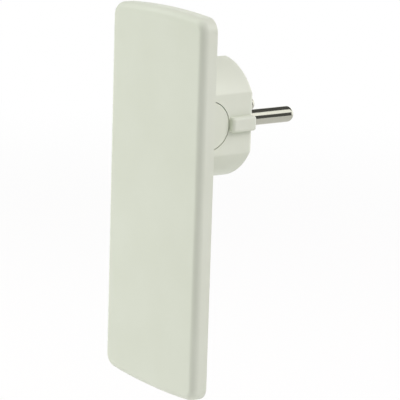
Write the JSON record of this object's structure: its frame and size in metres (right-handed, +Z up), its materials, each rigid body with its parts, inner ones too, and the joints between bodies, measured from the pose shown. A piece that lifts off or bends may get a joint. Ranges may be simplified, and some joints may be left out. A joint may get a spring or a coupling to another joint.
{
  "type": "flat plug",
  "caption": "Earthed mains plug with a round two-pin head hinged to a long flat plate that hides the wiring and levers the plug out of the wall.",
  "frame": {"origin": "middle of the pin face, halfway between the two pins", "axes": "+Y along the pins into the wall, +Z up the plate towards its short end, +X to the right seen from the room"},
  "size_m": [0.046, 0.0432, 0.1139],
  "materials": {
    "housing": "satin moulded plastic, off-white with a slight green tint",
    "inner_plastic": "moulded thermoset, natural",
    "film": "thin polyester film",
    "soft_bush": "soft moulded bush in the housing's colour",
    "nickel": "bright nickel plating on brass",
    "brass": "rolled brass strip",
    "steel": "zinc-plated steel",
    "brown_sleeve": "brown lead insulation",
    "blue_sleeve": "blue lead insulation",
    "green_yellow_sleeve": "green and yellow lead insulation"
  },
  "bodies": {
    "plug_head": {"head_shell": "housing", "face_insert": "housing", "face_screws": "steel", "line_pin": "nickel", "neutral_pin": "nickel", "pin_retainer": "inner_plastic", "retainer_screws": "steel", "earth_bracket": "brass", "earth_sleeve": "brass", "head_back": "housing", "back_screws": "steel", "line_lead_head": "brown_sleeve", "neutral_lead_head": "blue_sleeve", "earth_lead_head": "green_yellow_sleeve", "hinge_pin_right": "steel", "hinge_pin_left": "steel"},
    "plate": {"front_cover": "housing", "rear_cover": "housing", "cover_screws": "steel", "line_strip": "brass", "neutral_strip": "brass", "earth_strip": "brass", "line_lead_plate": "brown_sleeve", "neutral_lead_plate": "blue_sleeve", "earth_lead_plate": "green_yellow_sleeve", "conductor_tray": "inner_plastic", "insulating_sheet": "film", "cord_bush": "soft_bush", "cord_clamp": "inner_plastic", "clamp_screws": "steel"}
  },
  "joints": [
    {"name": "plate_hinge", "type": "hinge", "parent": "plug_head", "child": "plate", "pos_m": [0, -0.016, 0], "axis": [-1, 0, 0], "range_deg": [0, 18]}
  ]
}
